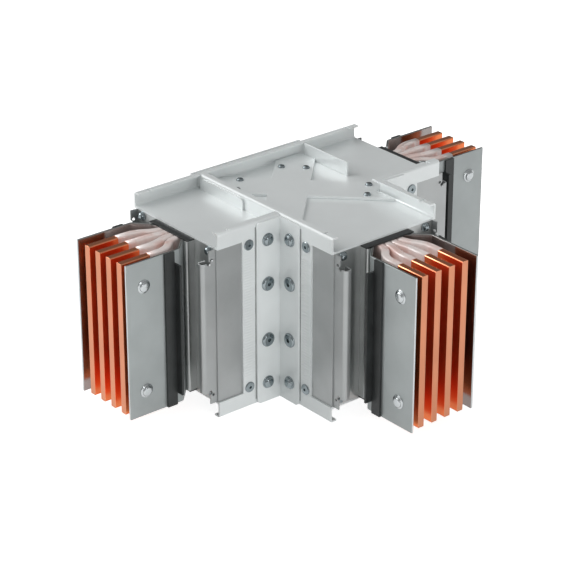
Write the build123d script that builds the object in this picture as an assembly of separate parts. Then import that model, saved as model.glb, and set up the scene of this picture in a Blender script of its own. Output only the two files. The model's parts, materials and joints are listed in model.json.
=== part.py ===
"""Busway tee section: a straight run of four copper bars with a branch that leaves it at a right angle.

The model is in millimetres. The run lies along X, the branch points along -Y and the bars stand on edge.
While it is built, the plan centre of the tee is at X = Y = 0 and the floor is at Z = 0.
At the end every piece moves along Y, so that the origin is the bottom centre of the whole section.
"""
from build123d import *
import os
from math import atan2, cos, sin

# Casing: two pressed trays, one over and one under the bars
CASING_WIDTH = 140.0
CASING_HEIGHT = 208.2
ARM_LENGTH = 151.0
TRAY_SHEET = 2.0
FLANGE_HEIGHT = 17.8
LIP_WIDTH = 8.0
LIP_NOTCH_WIDTH = 3.4
LIP_NOTCH_FROM_END = 12.8
BEND_RADIUS = 2.8
FLOOR_BEND_RADIUS = 2.5
TAB_REACH = 49.3
TAB_DEPTH = 15.4
WALL_END_GAP = 8.0

# Upright flaps across the run, and the cross plate between them
FLAP_TOP_GAP = 3.2
FLAP_CORNER_RADIUS = 6.0
FLAP_FAR_Y = 60.0
FLAP_NEAR_Y = -11.5
RIGHT_FLAP_X = 71.2
CROSS_SHEET = 3.0
CROSS_BAND_WIDTH = 42.4
CROSS_SCREW_SPACING = 26.8
CROSS_SCREW_REACH = 53.7
CROSS_SCREW_FAR_REACH = 83.5

# Side panels, corner plates, corner brackets and the back cover
PANEL_SHEET = 1.5
BRACKET_LEG = 32.3
BRACKET_SHEET = 2.5
BRACKET_TOP_GAP = 1.7
BRACKET_CORNER_RADIUS = 5.0
BACK_COVER_LEFT = 76.0
BACK_COVER_RIGHT = 74.0

# Bolts and screws
BRACKET_BOLT_FROM_CORNER = 18.5
BRACKET_BOLT_RISE = 32.0
BRACKET_BOLT_FROM_FACE = 22.6
BOLT_HEAD_DIAMETER = 14.0
BOLT_HEAD_HEIGHT = 4.6
BOLT_SHANK_DIAMETER = 6.0
SOCKET_HEAD_DIAMETER = 15.6
SOCKET_HEAD_HEIGHT = 2.6
SOCKET_WIDTH = 8.0
SIDE_SCREW_DIAMETER = 11.7
SIDE_SCREW_HEIGHT = 1.6
SIDE_SCREW_FROM_CORNER = 41.2
SIDE_SCREW_FROM_FACE = 23.0
CROSS_SCREW_DIAMETER = 8.0
CROSS_SCREW_HEIGHT = 2.6
END_SCREW_DIAMETER = 9.0
END_SCREW_HEIGHT = 3.4
DOMED_SHARE = 0.7
CHAMFERED_SHARE = 0.3
BORE_LENGTH = 28.0
END_SCREW_FROM_FLOOR = 5.0
END_SCREW_FROM_SIDE = 14.0
HOLE_CLEARANCE = 0.25

# Arm ends: rolled edge profiles and the closures between casing and stack cover
PROFILE_SHEET = 1.5
PROFILE_LAP = 2.0
PROFILE_REACH = 17.2
PROFILE_TIP_REACH = 8.4
PROFILE_ROLL_DEPTH = 9.5
PROFILE_ROLL_RADIUS = 3.3
PROFILE_NOTCH = 13.4
PROFILE_RELIEF_DIAMETER = 4.6
PROFILE_HOLE_DIAMETER = 3.5
PROFILE_HOLE_REACH = 4.9
PROFILE_HOLE_INSET = 10.4
CLOSURE_SHEET = 1.5

# Insulating boards and the cover sheets along the bar stack
BOARD_SHEET = 1.4
BOARD_REACH = 9.0
COVER_HALF_WIDTH = 32.0
COVER_SHEET = 1.5
COVER_REACH = 10.7
COVER_LIP = 4.0
COVER_BEND_RADIUS = 3.0

# Copper bars, their film and the earth plates beside them
BAR_COUNT = 4
BAR_THICKNESS = 8.0
BAR_END_PITCH = 18.0
BAR_END_SHIFT = -1.5
BAR_STACK_PITCH = 8.8
BAR_FREE_LENGTH = 91.2
BAR_BARE_LENGTH = 35.4
BAR_FLARE_START = 6.0
BAR_FLARE_LENGTH = 37.0
FILM_SHEET = 0.2
FILM_CLEARANCE = 0.1
EARTH_SHEET = 2.5
EARTH_FREE_LENGTH = 92.5
EARTH_END_OFFSET = 42.3
EARTH_KNEE_REACH = 26.0
EARTH_BEND_RADIUS = 4.0
EARTH_STEP_LAP = 1.2
RIVET_DIAMETER = 15.0
RIVET_HEIGHT = 3.6
RIVET_FROM_END = 20.7
RIVET_RISE = 58.5

# Black stop angles on the earth plates
STOP_SHEET = 2.5
STOP_FOOT = 14.6
STOP_STANDOFF = 10.3
STOP_FROM_END = 46.0
STOP_INSET = 13.4

# Block of joined bars at the crossing of the two stacks
CORE_DEPTH = 12.6

# Small gap left between pieces that are pushed together
FIT = 0.1

HALF_WIDTH = CASING_WIDTH / 2
PANEL_FACE = HALF_WIDTH - TRAY_SHEET
PANEL_INNER = PANEL_FACE - PANEL_SHEET
MID_HEIGHT = CASING_HEIGHT / 2
FLOOR_LOW = FLANGE_HEIGHT
FLOOR_HIGH = CASING_HEIGHT - FLANGE_HEIGHT
STACK_LOW = FLOOR_LOW + BOARD_SHEET
STACK_HIGH = FLOOR_HIGH - BOARD_SHEET
FILM_GROWTH = FILM_CLEARANCE + FILM_SHEET
BAR_LOW = STACK_LOW + FILM_GROWTH + FIT / 2
BAR_HIGH = STACK_HIGH - FILM_GROWTH - FIT / 2
BAR_REACH = ARM_LENGTH + BAR_FREE_LENGTH
FILM_END = BAR_REACH - BAR_BARE_LENGTH
BAR_FLARE_INNER = ARM_LENGTH + BAR_FLARE_START
BAR_FLARE_OUTER = BAR_FLARE_INNER + BAR_FLARE_LENGTH
EARTH_REACH = ARM_LENGTH + EARTH_FREE_LENGTH
EARTH_KNEE = ARM_LENGTH + EARTH_KNEE_REACH
STACK_HALF = (BAR_COUNT - 1) / 2 * BAR_STACK_PITCH + BAR_THICKNESS / 2 + FILM_GROWTH
EARTH_STACK_OFFSET = STACK_HALF + FIT + EARTH_SHEET
BACK_FACE = HALF_WIDTH + BRACKET_SHEET
ORIGIN_SHIFT = (EARTH_REACH - BACK_FACE) / 2
BOX_ALIGN = (Align.MIN, Align.MIN, Align.MIN)

# The tee's arms, each with the turn that brings +X onto it
ARM_TURNS = {"left_arm": 180, "right_arm": 0, "branch": -90}


def box(x0, x1, y0, y1, z0, z1):
    """A plain block between two corners."""
    return Pos(x0, y0, z0) * Box(x1 - x0, y1 - y0, z1 - z0, align=BOX_ALIGN)


def prism(points, z0, z1):
    """A block with the outline of the points, from one height to another."""
    outline = make_face(Polyline(*points, close=True))
    return Pos(0, 0, z0) * extrude(outline, z1 - z0, dir=(0, 0, 1))


def offset_points(points, distance):
    """The points of a line, moved sideways to its left by the distance, with mitred corners."""
    spots = [Vector(*point) for point in points]
    heads = [(b - a).normalized() for a, b in zip(spots, spots[1:])]
    heads = [heads[0]] + heads + [heads[-1]]
    moved = []
    for spot, before, after in zip(spots, heads, heads[1:]):
        left = Vector(-before.Y - after.Y, before.X + after.X)
        moved.append(spot + left * (distance / (1 + before.dot(after))))
    return moved


def turns_left(points):
    """For each inner point of a line, whether the line turns left there."""
    spots = [Vector(*point) for point in points]
    return [(b - a).cross(c - b).Z > 0 for a, b, c in zip(spots, spots[1:], spots[2:])]


def bent_sheet(points, sheet, radius, z0, z1):
    """A standing sheet of even thickness along a line of points, with rounded bends."""
    half = sheet / 2
    lefts = turns_left(points)
    left_radii = [radius - half if left else radius + half for left in lefts]
    right_radii = [radius + half if left else radius - half for left in lefts]
    outline = offset_points(points, half) + offset_points(points, -half)[::-1]
    radii = [0, *left_radii, 0, 0, *right_radii[::-1], 0]
    face = make_face(FilletPolyline(*outline, radius=radii, close=True))
    return Pos(0, 0, z0) * extrude(face, z1 - z0, dir=(0, 0, 1))


def upside_down(piece):
    """The same piece mirrored from the top of the casing to its bottom."""
    return mirror(piece, about=Plane.XY.offset(MID_HEIGHT))


def other_side(piece):
    """The same piece mirrored to the other side of the X axis."""
    return mirror(piece, about=Plane.XZ)


def other_hand(piece):
    """The same piece mirrored from the left of the tee to its right."""
    return mirror(piece, about=Plane.YZ)


def on_arm(piece, arm):
    """A piece that was built for the arm along +X, turned onto the named arm."""
    return Rot(0, 0, ARM_TURNS[arm]) * piece


# Trays

def flange_section():
    """Section of a tray edge: floor strip, flange and in-turned lip, outer face at Y = 0."""
    strip = FLOOR_BEND_RADIUS + FIT + TRAY_SHEET
    top = CASING_HEIGHT
    under_lip = (TRAY_SHEET, top - TRAY_SHEET)
    floor_corner = (TRAY_SHEET, FLOOR_HIGH + TRAY_SHEET)
    points = [(strip, FLOOR_HIGH), (0, FLOOR_HIGH), (0, top), (LIP_WIDTH, top),
              (LIP_WIDTH, top - TRAY_SHEET), under_lip, floor_corner, (strip, FLOOR_HIGH + TRAY_SHEET)]
    radii = [0, 0, BEND_RADIUS, 0, 0, BEND_RADIUS - TRAY_SHEET, FLOOR_BEND_RADIUS, 0]
    return make_face(FilletPolyline(*points, radius=radii, close=True))


def flange(x0, x1):
    """A tray edge along X with its outer face at Y = 0 and the floor on its +Y side."""
    face = Plane.YZ * flange_section()
    return Pos(x0, 0, 0) * extrude(face, x1 - x0, dir=(1, 0, 0))


def notched_flange(x0, x1, notches):
    """A tray edge whose lip is notched at each of the given places."""
    bar = flange(x0, x1)
    for x in notches:
        bar -= box(x - LIP_NOTCH_WIDTH / 2, x + LIP_NOTCH_WIDTH / 2, TRAY_SHEET + FIT,
                   LIP_WIDTH + TRAY_SHEET, CASING_HEIGHT - 2 * TRAY_SHEET, CASING_HEIGHT + TRAY_SHEET)
    return bar


def side_tab(x0, x1):
    """The part of a tray edge that reaches down over the side panel, outer face at Y = 0."""
    return box(x0, x1, 0, TRAY_SHEET, FLOOR_HIGH - TAB_DEPTH, FLOOR_HIGH + TRAY_SHEET)


def run_edge(x0, x1, notches, near):
    """A tray edge on the near or the far side of the run."""
    bar = Pos(0, -HALF_WIDTH, 0) * notched_flange(x0, x1, notches)
    return bar if near else other_side(bar)


def branch_edge(y0, y1, notches):
    """A tray edge on the left side of the branch."""
    turned = Rot(0, 0, -90) * notched_flange(-y1, -y0, [-y for y in notches])
    return Pos(-HALF_WIDTH, 0, 0) * turned


def elbow_floor():
    """The floor of the tray over the centre, the branch and the right arm."""
    inner = HALF_WIDTH - TRAY_SHEET - FIT
    run = box(-HALF_WIDTH + TRAY_SHEET, ARM_LENGTH, -inner, inner, FLOOR_HIGH, FLOOR_HIGH + TRAY_SHEET)
    branch = box(-inner, inner, -ARM_LENGTH, 0, FLOOR_HIGH, FLOOR_HIGH + TRAY_SHEET)
    return run + branch


def inner_corner_edges():
    """The edge that turns round the right inner corner, mitred where its two legs meet."""
    notch = ARM_LENGTH - LIP_NOTCH_FROM_END - LIP_NOTCH_WIDTH / 2
    inner = HALF_WIDTH - LIP_WIDTH
    run_leg = run_edge(inner, ARM_LENGTH, [notch], near=True)
    branch_leg = other_hand(branch_edge(-ARM_LENGTH, -inner, [-notch]))
    reach = 2 * ARM_LENGTH
    corner = (HALF_WIDTH, -HALF_WIDTH)
    mitre_end = (HALF_WIDTH - reach, reach - HALF_WIDTH)
    run_side = prism([corner, mitre_end, (reach, reach), (reach, -HALF_WIDTH)], 0, CASING_HEIGHT)
    branch_side = prism([corner, mitre_end, (-reach, -reach), (HALF_WIDTH, -reach)], 0, CASING_HEIGHT)
    return (run_leg & run_side) + (branch_leg & branch_side)


def tab_pair():
    """The two tabs that hang down on both sides of the right inner corner."""
    far_end = HALF_WIDTH + TAB_REACH
    run_tab = Pos(0, -HALF_WIDTH, 0) * side_tab(HALF_WIDTH - TRAY_SHEET, far_end)
    branch_tab = box(HALF_WIDTH - TRAY_SHEET, HALF_WIDTH, -far_end, -HALF_WIDTH, FLOOR_HIGH - TAB_DEPTH,
                     FLOOR_HIGH + TRAY_SHEET)
    return run_tab + branch_tab


def top_elbow_tray():
    """The tray over the centre, the branch and the right arm, with the wall across the run."""
    notch = ARM_LENGTH - LIP_NOTCH_FROM_END - LIP_NOTCH_WIDTH / 2
    far_end = HALF_WIDTH + TAB_REACH
    tray = elbow_floor()
    tray += run_edge(-HALF_WIDTH, ARM_LENGTH, [notch], near=False)
    tray += branch_edge(-ARM_LENGTH, HALF_WIDTH - WALL_END_GAP, [-notch])
    tray += inner_corner_edges()
    tray += tab_pair()
    tray += box(-HALF_WIDTH, -HALF_WIDTH + TRAY_SHEET, -far_end, -HALF_WIDTH, FLOOR_HIGH - TAB_DEPTH,
                FLOOR_HIGH + TRAY_SHEET)
    return tray


def flap(x0, x1, top, corner_radius):
    """An upright flap across the run, with a rounded near top corner."""
    plate = box(x0, x1, FLAP_NEAR_Y, FLAP_FAR_Y, FLOOR_HIGH + TRAY_SHEET, top)
    if corner_radius > 0:
        corners = plate.edges().filter_by(Axis.X).group_by(Axis.Z)[-1]
        plate = fillet(corners, corner_radius)
    return plate


def top_left_tray():
    """The tray over the left arm, with the flap that stands against the wall of the elbow tray."""
    notch = ARM_LENGTH - LIP_NOTCH_FROM_END - LIP_NOTCH_WIDTH / 2
    inner = HALF_WIDTH - TRAY_SHEET - FIT
    end = -HALF_WIDTH - FIT
    tray = box(-ARM_LENGTH, end, -inner, inner, FLOOR_HIGH, FLOOR_HIGH + TRAY_SHEET)
    tray += run_edge(-ARM_LENGTH, end, [-notch], near=True)
    tray += run_edge(-ARM_LENGTH, end, [-notch], near=False)
    tray += Pos(0, -HALF_WIDTH, 0) * side_tab(-HALF_WIDTH - TAB_REACH, end)
    return tray + flap(end - TRAY_SHEET, end, CASING_HEIGHT - FLAP_TOP_GAP, FLAP_CORNER_RADIUS)


def top_right_flap():
    """The square flap that stands on the floor at the mouth of the right arm."""
    return flap(RIGHT_FLAP_X, RIGHT_FLAP_X + TRAY_SHEET, CASING_HEIGHT - FIT, 0)


# Cross plate

def cross_bands():
    """Two flat bands that cross at 45 degrees."""
    band = Box(4 * HALF_WIDTH, CROSS_BAND_WIDTH, CROSS_SHEET, align=(Align.CENTER, Align.CENTER, Align.MIN))
    return Rot(0, 0, 45) * band + Rot(0, 0, -45) * band


def top_cross_plate():
    """The X-shaped plate on the tray floor, cut to the walls around it and round the inner corner."""
    side = HALF_WIDTH - TRAY_SHEET - FLOOR_BEND_RADIUS - FIT
    reach = CROSS_BAND_WIDTH / 2 ** 0.5 + side
    beside_flap = RIGHT_FLAP_X - FIT
    before_flap = FLAP_NEAR_Y - FIT
    points = [(-side, side), (beside_flap, side), (beside_flap, before_flap), (reach, before_flap),
              (reach, -side), (side, -side), (side, -reach), (-side, -reach)]
    z = FLOOR_HIGH + TRAY_SHEET
    return Pos(0, 0, z) * cross_bands() & prism(points, z, z + CROSS_SHEET)


def cross_screw_places():
    """Plan position of each screw of the cross plate, in pairs across its arms."""
    places = []
    for turn, reach in ((45, CROSS_SCREW_REACH), (135, CROSS_SCREW_REACH), (225, CROSS_SCREW_REACH),
                        (315, CROSS_SCREW_FAR_REACH)):
        for side in (-CROSS_SCREW_SPACING / 2, CROSS_SCREW_SPACING / 2):
            spot = Rot(0, 0, turn) * Pos(reach, side, 0)
            places.append(spot.position)
    return places


# Screws and bolts

def dome_head(diameter, height):
    """A low domed head on the plane at Z = 0, pointing up."""
    radius = diameter / 2
    rise = height * DOMED_SHARE
    ball = (radius ** 2 + rise ** 2) / (2 * rise)
    stem = Cylinder(radius, height, align=(Align.CENTER, Align.CENTER, Align.MIN))
    return stem & Pos(0, 0, height - ball) * Sphere(ball)


def flat_head(diameter, height, socket=0.0):
    """A flat round head on the plane at Z = 0, with an optional hexagon socket."""
    head = Cylinder(diameter / 2, height, align=(Align.CENTER, Align.CENTER, Align.MIN))
    head = chamfer(head.edges().group_by(Axis.Z)[-1], height * CHAMFERED_SHARE)
    if socket > 0:
        recess = extrude(RegularPolygon(socket / 2, 6), height, dir=(0, 0, 1))
        head -= Pos(0, 0, height * CHAMFERED_SHARE + FIT) * recess
    return head


def shank(diameter, length):
    """The shank below a head, pointing down from Z = 0."""
    return Pos(0, 0, -length) * Cylinder(diameter / 2, length, align=(Align.CENTER, Align.CENTER, Align.MIN))


def bracket_bolt_heights():
    """Heights of the bolts on a bracket leg, lowest first."""
    return [BRACKET_BOLT_FROM_FACE, MID_HEIGHT - BRACKET_BOLT_RISE, MID_HEIGHT + BRACKET_BOLT_RISE,
            CASING_HEIGHT - BRACKET_BOLT_FROM_FACE]


def side_screw_heights():
    """Heights of the two flat screws at the end of each pair of tabs."""
    return [SIDE_SCREW_FROM_FACE, CASING_HEIGHT - SIDE_SCREW_FROM_FACE]


def facing_near(head, x, y, z):
    """A head built along +Z, turned to stand out along -Y."""
    return Pos(x, y, z) * Rot(90, 0, 0) * head


def bracket_bolt_solids():
    """Domed bolts at both ends of each bracket leg and socket bolts between them, on the right run side."""
    grip = BRACKET_SHEET + TRAY_SHEET + PANEL_SHEET
    stem = shank(BOLT_SHANK_DIAMETER, grip)
    domed = dome_head(BOLT_HEAD_DIAMETER, BOLT_HEAD_HEIGHT) + stem
    socket = flat_head(SOCKET_HEAD_DIAMETER, SOCKET_HEAD_HEIGHT, SOCKET_WIDTH) + stem
    x = HALF_WIDTH + BRACKET_BOLT_FROM_CORNER
    bolts = zip((domed, socket, socket, domed), bracket_bolt_heights())
    return [facing_near(bolt, x, -BACK_FACE, z) for bolt, z in bolts]


def side_screw_solids():
    """The flat screws beyond the bracket, on the right run side."""
    grip = TRAY_SHEET + PANEL_SHEET
    head = flat_head(SIDE_SCREW_DIAMETER, SIDE_SCREW_HEIGHT) + shank(BOLT_SHANK_DIAMETER, grip)
    x = HALF_WIDTH + SIDE_SCREW_FROM_CORNER
    return [facing_near(head, x, -HALF_WIDTH, z) for z in side_screw_heights()]


def side_hole_tools():
    """Clearance holes for the bolts and screws on the right run side."""
    hole = BOLT_SHANK_DIAMETER / 2 + HOLE_CLEARANCE
    bore = Cylinder(hole, BORE_LENGTH)
    x = HALF_WIDTH + BRACKET_BOLT_FROM_CORNER
    tools = [facing_near(bore, x, -HALF_WIDTH, z) for z in bracket_bolt_heights()]
    x = HALF_WIDTH + SIDE_SCREW_FROM_CORNER
    return tools + [facing_near(bore, x, -HALF_WIDTH, z) for z in side_screw_heights()]


def corner_copies(pieces):
    """Pieces of the right run side, repeated on the branch side of that corner and at the left corner."""
    swapped = [mirror(piece, about=Plane(origin=(0, 0, 0), z_dir=(1, 1, 0))) for piece in pieces]
    right = pieces + swapped
    return right + [other_hand(piece) for piece in right]


def drilled(piece, tools):
    """The piece with every hole cut."""
    for tool in tools:
        piece -= tool
    return piece


# Side panels, corner plates and brackets

def panel(x0, x1, y_face):
    """A side panel along X, with its outer face at y_face and its body on the +Y side."""
    return box(x0, x1, y_face, y_face + PANEL_SHEET, FLOOR_LOW, FLOOR_HIGH)


def corner_angle(leg, face, sheet, z0, z1):
    """An angle that fits into the right inner corner, its legs on the given face of both sides."""
    end = face + leg
    points = [(end, -face), (end, -face - sheet), (face + sheet, -face - sheet), (face + sheet, -end),
              (face, -end), (face, -face)]
    return prism(points, z0, z1)


def corner_plate():
    """The plate that closes the side between the upper and lower tabs of the right inner corner."""
    low = FLOOR_LOW + TAB_DEPTH + FIT
    return corner_angle(TAB_REACH + TRAY_SHEET, PANEL_FACE, TRAY_SHEET, low, CASING_HEIGHT - low)


def corner_bracket():
    """The bracket over the right inner corner, with rounded outer corners."""
    bracket = corner_angle(BRACKET_LEG, HALF_WIDTH, BRACKET_SHEET, FIT, CASING_HEIGHT - BRACKET_TOP_GAP)
    legs = bracket.edges().filter_by(Axis.Y).group_by(Axis.X)[-1]
    bracket = fillet(legs, BRACKET_CORNER_RADIUS)
    legs = bracket.edges().filter_by(Axis.X).group_by(Axis.Y)[0]
    return fillet(legs, BRACKET_CORNER_RADIUS)


def back_cover():
    """The flat cover over the back of the tee's centre."""
    return box(-BACK_COVER_LEFT, BACK_COVER_RIGHT, HALF_WIDTH, BACK_FACE, FIT, CASING_HEIGHT - FIT)


# Arm ends, built for the arm along +X on its near side

def through_near(diameter, x, z):
    """A round cutter along Y through the near side of an arm's end, but not through what lies behind."""
    return facing_near(Cylinder(diameter / 2, BORE_LENGTH / 2), x, -HALF_WIDTH, z)


def end_profile():
    """The rolled edge profile at an arm's end: flat strip, rolled nose, turned-in back."""
    mid = PANEL_INNER - PROFILE_SHEET / 2
    nose = ARM_LENGTH + PROFILE_REACH - PROFILE_SHEET / 2
    back = mid - PROFILE_ROLL_DEPTH + PROFILE_SHEET
    points = [(ARM_LENGTH - PROFILE_LAP, -mid), (nose, -mid), (nose, -back),
              (nose - PROFILE_ROLL_DEPTH, -back)]
    profile = bent_sheet(points, PROFILE_SHEET, PROFILE_ROLL_RADIUS, FLOOR_LOW, FLOOR_HIGH)
    tip = ARM_LENGTH + PROFILE_TIP_REACH
    for low, high in ((0, FLOOR_LOW + PROFILE_NOTCH), (FLOOR_HIGH - PROFILE_NOTCH, CASING_HEIGHT)):
        profile -= box(tip, 2 * ARM_LENGTH, -HALF_WIDTH, 0, low, high)
        profile -= box(ARM_LENGTH, 2 * ARM_LENGTH, -mid + PROFILE_SHEET, 0, low, high)
    for z in (FLOOR_LOW + PROFILE_HOLE_INSET, FLOOR_HIGH - PROFILE_HOLE_INSET):
        profile -= through_near(PROFILE_HOLE_DIAMETER, ARM_LENGTH + PROFILE_HOLE_REACH, z)
    for z in (FLOOR_LOW + PROFILE_NOTCH, FLOOR_HIGH - PROFILE_NOTCH):
        profile -= through_near(PROFILE_RELIEF_DIAMETER, tip, z)
    return profile


def end_closure():
    """The upright plate that closes the space between the side panel and the stack cover."""
    inner = PANEL_INNER - PROFILE_SHEET - FIT
    start = ARM_LENGTH - CLOSURE_SHEET
    return box(start, ARM_LENGTH, -inner, -COVER_HALF_WIDTH - FIT, FLOOR_LOW, FLOOR_HIGH)


def end_screws():
    """The domed screws in the upper and lower corner of the closure."""
    head = dome_head(END_SCREW_DIAMETER, END_SCREW_HEIGHT)
    heights = (FLOOR_LOW + END_SCREW_FROM_FLOOR, FLOOR_HIGH - END_SCREW_FROM_FLOOR)
    y = END_SCREW_FROM_SIDE - HALF_WIDTH
    return [Pos(ARM_LENGTH, y, z) * Rot(0, 90, 0) * head for z in heights]


def earth_plate():
    """An earth plate: straight at the open end, stepped in to lie against the stack."""
    outer = EARTH_END_OFFSET - EARTH_SHEET / 2
    inner = EARTH_STACK_OFFSET - EARTH_SHEET / 2
    lap = EARTH_KNEE - (outer - inner)
    inner_end = COVER_HALF_WIDTH + EARTH_STEP_LAP
    points = [(EARTH_REACH, -outer), (EARTH_KNEE, -outer), (lap, -inner), (inner_end, -inner)]
    plate = bent_sheet(points, EARTH_SHEET, EARTH_BEND_RADIUS, FLOOR_LOW, FLOOR_HIGH)
    step = ARM_LENGTH + COVER_REACH + EARTH_STEP_LAP
    plate -= box(0, step, -HALF_WIDTH, 0, 0, STACK_LOW)
    return plate - box(0, step, -HALF_WIDTH, 0, STACK_HIGH, CASING_HEIGHT)


def rivets():
    """The two domed rivets near the free end of an earth plate."""
    head = dome_head(RIVET_DIAMETER, RIVET_HEIGHT)
    x = EARTH_REACH - RIVET_FROM_END
    return [facing_near(head, x, -EARTH_END_OFFSET, MID_HEIGHT + rise) for rise in (-RIVET_RISE, RIVET_RISE)]


def stop_angle():
    """The black angle on the outside of an earth plate: full-height foot and a shorter standing leg."""
    face = EARTH_END_OFFSET
    outer = EARTH_REACH - STOP_FROM_END
    inner = outer - STOP_FOOT
    foot = box(inner, outer, -face - STOP_SHEET, -face, FLOOR_LOW, FLOOR_HIGH)
    foot -= box(inner, inner + STOP_SHEET, -HALF_WIDTH, 0, 0, FLOOR_LOW + STOP_INSET)
    foot -= box(inner, inner + STOP_SHEET, -HALF_WIDTH, 0, FLOOR_HIGH - STOP_INSET, CASING_HEIGHT)
    leg = box(inner, inner + STOP_SHEET, -face - STOP_STANDOFF, -face, FLOOR_LOW + STOP_INSET,
              FLOOR_HIGH - STOP_INSET)
    return foot + leg


# Stack covers and boards

def far_stack_cover():
    """The cover sheet along the far side of the run's stack, turned in at both ends."""
    end = ARM_LENGTH + COVER_REACH - COVER_SHEET / 2
    mid = COVER_HALF_WIDTH - COVER_SHEET / 2
    lip = COVER_HALF_WIDTH - COVER_LIP
    points = [(-end, lip), (-end, mid), (end, mid), (end, lip)]
    return bent_sheet(points, COVER_SHEET, COVER_BEND_RADIUS, STACK_LOW, STACK_HIGH)


def corner_stack_cover():
    """The cover sheet round the right inner corner, turned in at both ends."""
    end = ARM_LENGTH + COVER_REACH - COVER_SHEET / 2
    mid = COVER_HALF_WIDTH - COVER_SHEET / 2
    lip = COVER_HALF_WIDTH - COVER_LIP
    points = [(end, -lip), (end, -mid), (mid, -mid), (mid, -end), (lip, -end)]
    return bent_sheet(points, COVER_SHEET, COVER_BEND_RADIUS, STACK_LOW, STACK_HIGH)


def top_board():
    """The tee-shaped insulating board between the stack and the tray floor."""
    end = ARM_LENGTH + BOARD_REACH
    half = COVER_HALF_WIDTH
    run = box(-end, end, -half, half, STACK_HIGH, FLOOR_HIGH)
    return run + box(-half, half, -end, 0, STACK_HIGH, FLOOR_HIGH)


# Bars

def bar_side(index, offset, inner_end, reach):
    """One side of a bar in plan: along the stack, through the two arcs of the flare, to the free end."""
    step = index - (BAR_COUNT - 1) / 2
    near = step * BAR_STACK_PITCH
    far = step * BAR_END_PITCH + BAR_END_SHIFT
    slope = 2 * atan2(far - near, BAR_FLARE_OUTER - BAR_FLARE_INNER)
    middle = ((BAR_FLARE_INNER + BAR_FLARE_OUTER) / 2 - offset * sin(slope),
              (near + far) / 2 + offset * cos(slope))
    flare_start = (BAR_FLARE_INNER, near + offset)
    flare_end = (BAR_FLARE_OUTER, far + offset)
    return [Line((inner_end, near + offset), flare_start), TangentArc(flare_start, middle, tangent=(1, 0)),
            TangentArc(flare_end, middle, tangent=(-1, 0)), Line(flare_end, (reach, far + offset))]


def half_bar(index, thickness, reach, inner_end, z0, z1):
    """Half a bar, or the outside or inside of its film, on the arm along +X."""
    left = bar_side(index, thickness / 2, inner_end, reach)
    right = bar_side(index, -thickness / 2, inner_end, reach)
    ends = [Line(left[0] @ 0, right[0] @ 0), Line(left[-1] @ 1, right[-1] @ 1)]
    return Pos(0, 0, z0) * extrude(make_face(left + right + ends), z1 - z0, dir=(0, 0, 1))


def run_bar(index):
    """A bar that runs straight through the tee."""
    right = half_bar(index, BAR_THICKNESS, BAR_REACH, 0, BAR_LOW, BAR_HIGH)
    return right + other_hand(right)


def branch_inner_end():
    """Where the branch's bars begin, measured from the tee's centre."""
    return STACK_HALF + FIT + CORE_DEPTH + FIT


def branch_bar(index):
    """A bar of the branch, from the joined block at the crossing to its free end."""
    return half_bar(index, BAR_THICKNESS, BAR_REACH, branch_inner_end(), BAR_LOW, BAR_HIGH)


def half_film(index, inner_end):
    """The film round half a bar on the arm along +X."""
    shells = [half_bar(index, BAR_THICKNESS + 2 * growth, FILM_END, inner_end, BAR_LOW - growth,
                       BAR_HIGH + growth) for growth in (FILM_GROWTH, FILM_CLEARANCE)]
    return shells[0] - shells[1]


def run_film(index):
    """The film round a bar of the run, bare at both ends."""
    right = half_film(index, 0)
    return right + other_hand(right)


def junction_core():
    """The joined bars between the run's stack and the branch's, as one plain block."""
    half = COVER_HALF_WIDTH - COVER_SHEET - FIT
    start = STACK_HALF + FIT
    return box(-half, half, -start - CORE_DEPTH, -start, STACK_LOW, STACK_HIGH)


# The whole section

def add_trays(nodes):
    """Trays, flaps and cross plates, top and bottom."""
    holes = corner_copies(side_hole_tools())
    tops = {"elbow_tray": drilled(top_elbow_tray(), holes), "left_tray": drilled(top_left_tray(), holes),
            "right_flap": top_right_flap(), "cross_plate": top_cross_plate()}
    for name, piece in tops.items():
        nodes["top_" + name] = [piece]
        nodes["bottom_" + name] = [upside_down(piece)]


def add_sides(nodes):
    """Side panels, corner plates, corner brackets and the back cover."""
    holes = corner_copies(side_hole_tools())
    turned = Plane(origin=(0, 0, 0), z_dir=(1, 1, 0))
    run_right = drilled(panel(PANEL_FACE, ARM_LENGTH, -PANEL_FACE), holes)
    branch_right = mirror(panel(PANEL_INNER, ARM_LENGTH, -PANEL_FACE), about=turned)
    branch_right = drilled(branch_right, holes)
    nodes["far_side_panel"] = [panel(-ARM_LENGTH, ARM_LENGTH, PANEL_INNER)]
    nodes["right_run_side_panel"] = [run_right]
    nodes["right_branch_side_panel"] = [branch_right]
    nodes["left_run_side_panel"] = [other_hand(run_right)]
    nodes["left_branch_side_panel"] = [other_hand(branch_right)]
    plate = drilled(corner_plate(), holes)
    bracket = drilled(corner_bracket(), holes)
    nodes["right_corner_plate"] = [plate]
    nodes["left_corner_plate"] = [other_hand(plate)]
    nodes["right_corner_bracket"] = [bracket]
    nodes["left_corner_bracket"] = [other_hand(bracket)]
    nodes["back_cover"] = [back_cover()]


def add_fasteners(nodes):
    """Bolts, screws and rivets, each kind in one node."""
    nodes["bracket_bolts"] = corner_copies(bracket_bolt_solids())
    nodes["side_screws"] = corner_copies(side_screw_solids())
    plate_top = FLOOR_HIGH + TRAY_SHEET + CROSS_SHEET
    head = Pos(0, 0, plate_top) * dome_head(CROSS_SCREW_DIAMETER, CROSS_SCREW_HEIGHT)
    tops = [Pos(*place) * head for place in cross_screw_places()]
    nodes["cross_plate_screws"] = tops + [upside_down(screw) for screw in tops]
    nodes["end_screws"] = arm_copies(end_screws())
    nodes["earth_rivets"] = arm_copies(rivets())


def arm_copies(pieces):
    """Pieces of one arm end, repeated on both sides of all three arms."""
    both = pieces + [other_side(piece) for piece in pieces]
    return [on_arm(piece, arm) for arm in ARM_TURNS for piece in both]


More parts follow.
